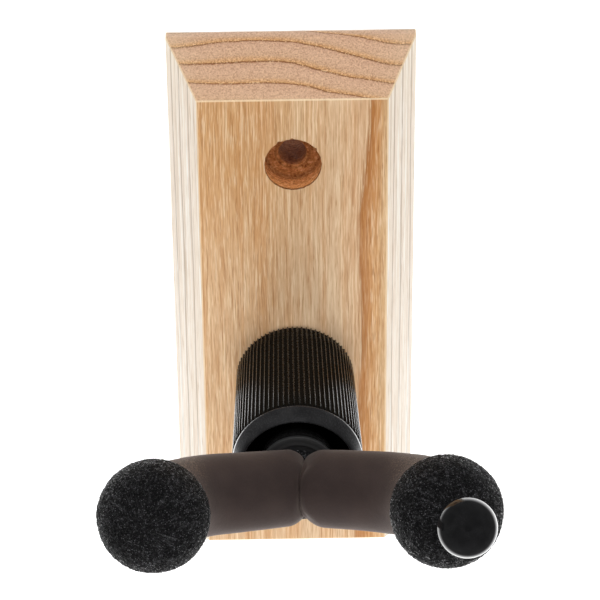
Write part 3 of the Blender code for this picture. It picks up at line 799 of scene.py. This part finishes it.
def hole_cutters():
    """Cutters of the two screw holes, and of the stem's bore with the nut's recess."""
    past = 1.0
    bottom = BLOCK_DEPTH - COUNTERBORE_DEPTH
    screw = [
        (-past, SCREW_RADIUS), (bottom - 0.15, SCREW_RADIUS), (bottom, SCREW_RADIUS + 0.13),
        (bottom, COUNTERBORE_RADIUS - 0.2), (bottom + 0.2, COUNTERBORE_RADIUS),
        (BLOCK_DEPTH + past, COUNTERBORE_RADIUS),
    ]
    stem = [
        (-past, RECESS_RADIUS), (RECESS_DEPTH, RECESS_RADIUS),
        (RECESS_DEPTH, STEM_BORE_RADIUS), (BLOCK_DEPTH + past, STEM_BORE_RADIUS),
    ]
    cutters = []
    for name, height in (("upper", SCREW_HEIGHT), ("lower", -SCREW_HEIGHT)):
        place = Matrix.Translation((0, 0, height * MM)) @ WALL
        cutters.append(bored_cutter(name + "_counterbore", screw, 120, place, 0.14, 1.1))
    return cutters + [bored_cutter("stem_bore", stem, 96, SWIVEL, 0.08, 0.0)]


def backing_block():
    """Bevelled board with torn counterbores, a stem bore and the nut's recess."""
    block = plain_block()
    cutters = hole_cutters()
    for cutter in cutters:
        cut = block.modifiers.new(cutter.name, "BOOLEAN")
        cut.operation = "DIFFERENCE"
        cut.solver = "EXACT"
        cut.material_mode = "TRANSFER"
        cut.object = cutter
    evaluated = block.evaluated_get(bpy.context.evaluated_depsgraph_get())
    carved = bpy.data.meshes.new_from_object(evaluated)
    for item in cutters + [block]:
        bpy.data.objects.remove(item)
    # A corner between only two edges makes a pocket of two equal faces
    work = bmesh.new()
    work.from_mesh(carved)
    loose = [corner for corner in work.verts if len(corner.link_edges) == 2]
    bmesh.ops.dissolve_verts(work, verts=loose)
    work.to_mesh(carved)
    work.free()
    carved.materials.clear()
    replaced, upright = ("backing_block",), Matrix.Identity(4)
    piece = finish_piece("block", carved, upright, WOOD, "wall_bracket", replaced, 32.0)
    piece.data.materials.append(BORED)
    screw_reach, stem_reach = COUNTERBORE_RADIUS + 1.3, RECESS_RADIUS + 0.5
    holes = ((SCREW_HEIGHT, screw_reach), (-SCREW_HEIGHT, screw_reach), (SWIVEL_HEIGHT, stem_reach))
    for face in piece.data.polygons:
        x, y, z = face.center / MM
        inside = any(math.hypot(x, z - height) < reach for height, reach in holes)
        face.material_index = int(inside and -BLOCK_DEPTH + 0.02 < y < -0.02)
    return piece


# ---- cup and swivel


RIB_COUNT = 78
RIB_DEPTH = 0.45
RIB_STEPS = (  # (place, from a rib's crest towards the next groove's middle, and share of the height)
    (0.0, 1.0), (0.10, 0.97), (0.20, 0.86), (0.27, 0.70), (0.33, 0.40), (0.38, 0.12), (0.46, 0.0), (0.75, 0.0),
)


def rib_table():
    """Angles around the cup, and share of a rib's height at each."""
    profile = [(-phase, share) for phase, share in RIB_STEPS[:0:-1]] + list(RIB_STEPS)
    pitch = TAU / RIB_COUNT
    angles = [(rib + phase / 2) * pitch for rib in range(RIB_COUNT) for phase, _ in profile]
    return np.array(angles), np.array([share for _, share in profile] * RIB_COUNT)


def cup_housing():
    """Cup with rounded, steep-sided ribs, a smooth lip and a deep recess around its boss."""
    back, front = CUP_BACK, CUP_RIB_END
    outline = [(back, 9.0, 0.0), (back, 15.2, 0.0), (back, 16.1, 0.5), (back + 0.12, 16.45, 0.9)]
    for out in np.linspace(back + 0.4, front - 0.5, 8):
        share = (out - back) / (front - back)
        outline.append((out, CUP_RADIUS + CUP_FLARE * share, 1.0))
    outline += [(front - 0.2, 18.02, 0.9), (front - 0.03, 17.8, 0.6), (front, 17.5, 0.0), (front, 17.0, 0.0)]
    nose = rounded(
        [
            (front, 16.95), (front + 0.35, 16.95, 0.2), (front + 0.75, 17.0, 0.25),
            (front + 0.9, 18.05, 0.3), (front + 1.5, 18.05, 0.5), (73.6, 16.75, 0.8), (74.4, 16.2, 0.5),
            (74.2, 15.7, 0.4), (72.8, 15.25, 0.8), (59.6, 15.1, 0.2), (59.0, 14.8, 0.5), (59.0, 10.8, 0.6),
            (59.6, 10.05, 0.4), (71.6, 9.9, 0.2), (71.9, 9.6, 0.2), (71.9, 6.6), (58.6, 6.5), (58.6, 4.4),
            (back, 4.4),
        ],
        steps=3,
    )
    table = np.array(outline + [(station, radius, 0.0) for station, radius in nose])
    around, shares = rib_table()
    stations, angles = np.meshgrid(table[:, 0], around, indexing="ij")
    radii = table[:, 1:2] - RIB_DEPTH * table[:, 2:3] * (1 - shares)
    grid = turned(stations, radii, angles)
    replaced = ("cup_housing",)
    return skin("cup", grid, SWIVEL, CUP, "wall_bracket", replaced, loop=True, sharp=50)


def turned_piece(name, outline, columns, surface, body, replaced, modulate=None, pitch=None):
    """Ring on the swivel line, from a closed outline."""
    path = rounded(outline, loop=True)
    if pitch:
        path = sampled(path, pitch)
    grid = revolve(path, columns, modulate)
    return skin(name, grid, SWIVEL, surface, body, replaced, loop=True)


def swivel_stack():
    """Bushings, foam washer, steel washers, lock nut and threaded stem, from the cup back to the wall."""
    bore = RUNNING_RADIUS
    turned_piece(
        "bushing_front",
        [(58.9, bore), (58.9, 6.17, 0.3), (72.2, 6.17, 0.1), (72.2, 10.3, 0.25), (73.4, 10.3, 0.45),
         (73.4, 7.6, 0.2), (73.15, 7.3, 0.2), (73.15, bore)],
        128, ACETAL, "wall_bracket", ("front_bushing",),
    )
    turned_piece(
        "bushing_rear",
        [(11.4, bore, 0.2), (11.4, 8.7, 0.3), (12.7, 8.7, 0.3), (12.7, 6.05, 0.1), (25.1, 6.05, 0.3),
         (25.1, bore)],
        96, NYLON, "wall_bracket", ("rear_bushing",),
    )
    turned_piece(
        "washer_flat",
        [(9.5, bore, 0.2), (9.5, 8.7, 0.35), (11.1, 8.7, 0.25), (11.1, bore, 0.1)],
        96, ZINC, "yoke", ("flat_washer",),
    )
    turned_piece(
        "washer_spring",
        [(7.9, bore, 0.1), (8.5, 7.9, 0.2), (9.2, 7.9, 0.2), (8.6, bore, 0.1)],
        96, SPRING, "yoke", ("spring_washer",),
    )

    def pebbled(stations, radii, angles):
        pebbles = field(turned(stations, radii, angles), 0.7)
        return np.where(radii > bore + 0.3, radii + 0.16 * pebbles - 0.08, radii)

    collar = turned_piece(
        "collar",
        [(73.7, bore), (73.7, 6.6, 0.4), (74.2, 6.6, 0.4), (75.6, 5.9, 0.8), (76.9, 5.0, 0.5), (76.9, bore)],
        160, BLACK_FOAM, "yoke", ("stem_collar",), pebbled, pitch=0.25,
    )
    lock_nut()
    threaded_stem()


def lock_nut():
    """Hexagon nut with chamfered corners and a round collar, on the wall side, around the nylon ring."""
    flat = 6.35

    def hexagonal(stations, radii, angles):
        half = math.pi / 6
        sides = flat / np.cos(np.mod(angles, 2 * half) - half)
        return np.where(radii > 6.2, np.minimum(sides, radii), radii)

    outline = [
        (3.1, RUNNING_RADIUS), (3.1, 5.3), (1.55, 5.3), (1.5, 5.45), (1.5, 5.65), (1.65, 5.9), (1.9, 5.95),
        (3.3, 5.95), (3.4, 6.1), (3.45, 6.75), (3.75, 7.15), (4.05, 7.40), (7.0, 7.40), (7.3, 7.0),
        (7.6, 6.3), (7.6, 4.9), (7.3, RUNNING_RADIUS),
    ]
    grid = revolve(sampled(np.array(outline), 0.4), 180, hexagonal)
    return skin("nut", grid, SWIVEL, ZINC, "yoke", ("lock_nut",), loop=True, sharp=25)


def threaded_stem():
    """Stud with a rolled thread where the nut runs and a weld bead where it meets the rod."""
    pitch, depth, thread_end = 1.41, 0.62, 24.0
    radius, bead_start, end = 3.97, 74.0, 77.85

    def threaded(stations, radii, angles):
        phase = np.mod(stations / pitch - angles / TAU, 1.0)
        tooth = smoothstep(0.06, 0.44, 0.5 - np.abs(phase - 0.5))
        cutting = smoothstep(1.2, 2.2, stations) * smoothstep(thread_end, thread_end - 2.5, stations)
        made = radii - depth * (1 - tooth) * cutting
        points = turned(stations, 4, angles)
        bead = np.exp(-(((stations - end + 0.5) / 0.9) ** 2))
        bead = bead * (0.75 + 0.5 * field(points, 1.1))
        return np.where(radii > 1, made + 0.55 * bead, made)

    runs = ((1.7, thread_end, pitch / 12), (thread_end, bead_start, 2.0), (bead_start, end, 0.25))
    stations = np.concatenate([np.arange(*run) for run in runs])
    path = [(1.0, 2.6), (1.0, 3.2), (1.25, 3.5), *((station, radius) for station in stations), (end, radius)]
    grid = revolve(np.array(path), 64, threaded)
    return skin("stem", grid, SWIVEL, ZINC, "yoke", ("yoke_stem",))


# ---- foam and peg


END_DROP = 2.75  # soft inner ends: drop in radius, and length along the arm on either side
LEFT_END_LENGTH = 4.9
RIGHT_END_LENGTH = 5.7
LEFT_START = -1.8  # where the inner ends would begin if the other sleeve did not press on them
RIGHT_START = 1.75
SEAM_OFFSET = 1.7  # of the face where the sleeves meet, to the right of the middle
SEAM_BULGE = 1.6  # how much nearer to the middle it is in front
BALL_RINGS = 186
BALL_COLUMNS = 420
PEBBLE_SIZE = 0.62


def clear_of_stem(grid, side):
    """Push foam aside where it would run into the stem or its collar."""
    to_swivel = np.array(SWIVEL.inverted() @ YOKE)
    turn, shift = to_swivel[:3, :3], to_swivel[:3, 3] / MM
    height, out = (grid @ turn.T + shift)[..., 1:3].transpose(2, 0, 1)
    clearance = np.interp(out, [73.0, 74.2, 77.0, 78.2], [6.8, 6.8, 5.3, 4.3])
    room = clearance**2 - height**2
    needed = np.where(out < 80.0, np.sign(room) * np.sqrt(np.abs(room)), -99.0)
    grid[..., 0] = side * np.maximum(side * grid[..., 0], needed)


def seam(points):
    """Across position of the surface where the two sleeves meet, at points of the yoke's frame."""
    spread = np.clip(1 - (points[..., 1] / 8.4) ** 4, 0, 1) ** 2
    return SEAM_OFFSET - SEAM_BULGE * spread * smoothstep(-12.0, 6.0, points[..., 2])


def foam_sleeve(side):
    """Foam tube on one arm, soft at its inner end, where the two sleeves press each other flat."""
    name = "left" if side < 0 else "right"
    start, soft = (LEFT_START, LEFT_END_LENGTH) if side < 0 else (RIGHT_START, RIGHT_END_LENGTH)
    end = ARM_LENGTH + CORNER_CUT - BALL_SEAT - 0.1
    bore, fine_end = FOAM_BORE, start + 10
    outside = np.concatenate(
        [np.arange(start, fine_end, 0.25), np.arange(fine_end, end - 0.5, 0.45), [end - 0.25]]
    )
    radii = np.interp(outside, (start, end), (SLEEVE_INNER_RADIUS, SLEEVE_OUTER_RADIUS))
    table = [(start, bore), (start, bore + 0.5), *zip(outside, radii), (end, SLEEVE_OUTER_RADIUS - 0.3)]
    table += [(station, bore) for station in np.linspace(end, start, 25)[:-1]]
    columns = 216
    angles = np.arange(columns) * TAU / columns
    upright = np.sin(angles) ** 2
    drop = 0.6 + (END_DROP - 0.6 + 0.35 * np.sin(angles)) * upright
    reach = 1.6 + (soft - 1.6) * upright
    grid = np.zeros((len(table), columns, 3))
    for row, (station, radius) in enumerate(table):
        across, forward, heading = sleeve_point(station)
        centre = np.array([side * across, 0.0, forward])
        inward = np.array([-side * math.sin(heading), 0.0, math.cos(heading)])
        ring = np.cos(angles)[:, None] * inward + np.sin(angles)[:, None] * np.array([0.0, 1.0, 0.0])
        if radius > bore + 0.6:
            probe = centre + ring * radius
            past_seam = 1 - side * (probe[:, 0] - seam(probe)) / reach
            past_end = 1 - (station - start)
            fall = np.maximum(drop * np.clip(past_seam, 0, 1) ** 2, 0.8 * max(past_end, 0) ** 2)
            slow = field(probe + 17.0 * side, 9.0) * 0.16
            quick = field(probe + 17.0 * side, 0.9) * 0.018
            ring = ring * (radius - fall + slow + quick)[:, None]
        else:
            ring = ring * radius
        grid[row] = centre + ring
    crease = seam(grid) + side * (0.02 + 0.05 * np.clip(1 - (grid[..., 1] / 7.0) ** 2, 0, 1))
    grid[..., 0] = side * np.maximum(side * grid[..., 0], side * crease)
    clear_of_stem(grid, side)
    title, replaced = name + "_foam_sleeve", (name + "_sleeve",)
    piece = skin(title, grid, YOKE, BROWN_FOAM, "yoke", replaced, loop=True, sharp=60)
    return piece


def foam_ball(side):
    """Open-cell foam ball with a pebbled surface and a flat seat for the sleeve."""
    name = "left" if side < 0 else "right"
    arc = np.linspace(math.acos(-BALL_SEAT / BALL_RADIUS), 0.0, BALL_RINGS)
    seat = [(-BALL_SEAT, radius) for radius in (FOAM_BORE, 8.0, 10.6)]
    path = seat + [(BALL_RADIUS * math.cos(angle), BALL_RADIUS * math.sin(angle)) for angle in arc[:-1]]
    smooth = revolve(np.array(path), BALL_COLUMNS)
    radius = np.linalg.norm(smooth, axis=-1, keepdims=True)
    probe = smooth + (0.0 if side < 0 else 53.0)  # another part of the noise for the other ball
    nearest = np.zeros(smooth.shape[:2])
    crease = np.zeros(smooth.shape[:2])
    for row in range(len(seat), len(path)):
        for column in range(BALL_COLUMNS):
            distances, centres = noise.voronoi(Vector(probe[row, column] / PEBBLE_SIZE))
            crease[row, column] = distances[1] - distances[0]
            nearest[row, column] = noise.cell(centres[0] * 7.0)
    slow = field(probe, 8.0) * 0.12
    pebbles = 0.17 * smoothstep(0.0, 0.45, crease) + 0.10 * nearest - 0.17
    height = slow + np.where(radius[..., 0] > BALL_RADIUS - 0.5, pebbles, 0)
    height[: len(seat)] = 0
    grid = smooth + smooth / radius * height[..., None]
    title, replaced = name + "_foam_ball", (name + "_ball",)
    piece = skin(title, grid, arm_end(side), BLACK_FOAM, "yoke", replaced, sharp=75)
    return piece


def peg_ball():
    """Polished ball with a flat seat and a slightly raised land around its insert."""
    seat = PEG_REACH - math.sqrt(PEG_RADIUS**2 - PEG_SEAT_RADIUS**2)
    arc = np.linspace(math.pi - math.asin(PEG_SEAT_RADIUS / PEG_RADIUS), 0.0, 72)
    path = [(seat + 6.9, 1.0), (seat + 6.9, 3.7), (seat + 0.2, 3.7), (seat, 3.85), (seat, 4.15)]
    path += [(PEG_REACH + PEG_RADIUS * math.cos(angle), PEG_RADIUS * math.sin(angle)) for angle in arc[1:-1]]
    grid = revolve(np.array(path), 144)
    return skin("peg", grid, arm_end(1), GLOSS, "yoke", ("peg_ball",))


def finish_cad_nodes():
    """Materials for the CAD pieces that are shown as they are."""
    surfaces = {
        "upper_cup_dowel": ZINC,
        "lower_cup_dowel": ZINC,
        "lock_nut_insert": BLUE_NYLON,
        "yoke_rod": BLACK_STEEL,
        "peg_stud": ZINC,
        "peg_insert": BRASS,
    }
    for name, surface in surfaces.items():
        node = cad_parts[name]
        for slot in node.material_slots:
            slot.material = surface


# ---- stage, lights and camera


FLOOR_SIZE = 12.0
FLOOR_HEIGHT = -0.40
KEY_AXIS = (0.0, -0.86, 0.51)  # from the hanger towards the middle of the dark side of the room
WORLD_DIFFUSE = 1.8
FRONT_REFLECTION = 0.16
BACK_REFLECTION = 2.7
SIDE_POWER = 5.0
KEY_POWER = 18.0
TOP_POWER = 41.0
LOW_POWER = 52.0
CAMERA_YAW = math.radians(0.71)
CAMERA_PITCH = math.radians(30.88)
CAMERA_ROLL = math.radians(-0.52)
CAMERA_PLACE = (-6.98, -717.75, 423.97)  # in millimetres
CAMERA_LENS = 170.2


def floor():
    """Pale floor well below the hanger."""
    g = Graph("floor_paint")
    mottle = g.noise(g.place, 0.004, 3.0, 0.5)
    surface = g.surface(
        Base_Color=g.mix(mottle, (0.90, 0.90, 0.90, 1), (0.94, 0.94, 0.94, 1)),
        Roughness=g.span(mottle, 0.3, 0.7, 0.75, 0.9),
        Emission_Color=(1, 1, 1, 1),
        Emission_Strength=0.8,
    )
    mesh = bpy.data.meshes.new("floor")
    mesh.from_pydata([(FLOOR_SIZE * x, FLOOR_SIZE * y, FLOOR_HEIGHT) for x, y in SQUARE], [], [(0, 1, 2, 3)])
    mesh.materials.append(surface)
    piece = placed("floor", mesh)
    piece.visible_diffuse = False
    piece.visible_glossy = False
    piece.visible_shadow = False


def softbox(name, place, width, height, power):
    """Soft lamp that faces the hanger and isn't mirrored in it."""
    data = bpy.data.lights.new(name, "AREA")
    data.shape = "RECTANGLE"
    data.size = width
    data.size_y = height
    data.energy = power
    lamp = placed(name, data)
    lamp.location = place
    lamp.rotation_euler = (-Vector(place)).to_track_quat("-Z", "Y").to_euler()
    lamp.visible_camera = False
    lamp.visible_glossy = False


def studio():
    """White surroundings, dark on the side that the front faces, and soft lights around the hanger."""
    world = bpy.data.worlds.new("studio")
    bpy.context.scene.world = world
    g = Nodes(world)
    direction = g.add("ShaderNodeTexCoord").outputs["Generated"]
    towards = g.add("ShaderNodeVectorMath", {0: direction, 1: KEY_AXIS}, operation="DOT_PRODUCT")
    facing = towards.outputs["Value"]
    ray = g.add("ShaderNodeLightPath").outputs
    soft = g.span(facing, 0.05, -0.62, 0.03 * WORLD_DIFFUSE, WORLD_DIFFUSE)
    around = g.span(facing, -0.52, -0.84, FRONT_REFLECTION, BACK_REFLECTION)
    mirrored = g.times(around, g.span(facing, 0.965, 0.988, 1.0, 0.25))
    lit = g.plus(soft, g.times(g.minus(mirrored, soft), ray["Is Glossy Ray"]))
    background = g.tree.nodes["Background"].inputs
    g.feed(background["Strength"], g.most(lit, ray["Is Camera Ray"]))
    g.feed(background["Color"], (1, 1, 1, 1))
    for side in (-1, 1):
        softbox("side", (2.2 * side, -0.4, 0.2), 1.6, 1.8, SIDE_POWER)
        softbox("key", (1.7 * side, -1.7, 0.3), 1.4, 1.6, KEY_POWER)
    softbox("top", (0.0, -1.0, 2.2), 2.0, 1.4, TOP_POWER)
    softbox("low", (0.0, -1.2, -1.95), 2.0, 1.4, LOW_POWER)


def camera():
    """Camera at the photograph's viewing angle."""
    yaw, pitch, roll = CAMERA_YAW, CAMERA_PITCH, CAMERA_ROLL
    forward = Vector((math.sin(yaw) * math.cos(pitch), math.cos(yaw) * math.cos(pitch), -math.sin(pitch)))
    right = Vector((math.cos(yaw), -math.sin(yaw), 0))
    up = right.cross(forward)
    side = math.cos(roll) * right + math.sin(roll) * up
    top = -math.sin(roll) * right + math.cos(roll) * up
    data = bpy.data.cameras.new("camera")
    data.sensor_width = 36.0
    data.lens = CAMERA_LENS
    data.clip_start = 0.05
    data.clip_end = 50.0
    turn = Matrix((side, top, -forward)).transposed().to_4x4()
    place = Matrix.Translation(Vector(CAMERA_PLACE) * MM)
    bpy.context.scene.camera = placed("camera", data, place @ turn)


def main():
    backing_block()
    cup_housing()
    swivel_stack()
    for side in (-1, 1):
        foam_sleeve(side)
        foam_ball(side)
    peg_ball()
    finish_cad_nodes()
    floor()
    studio()
    camera()
    bpy.context.scene.view_settings.view_transform = "Standard"


main()
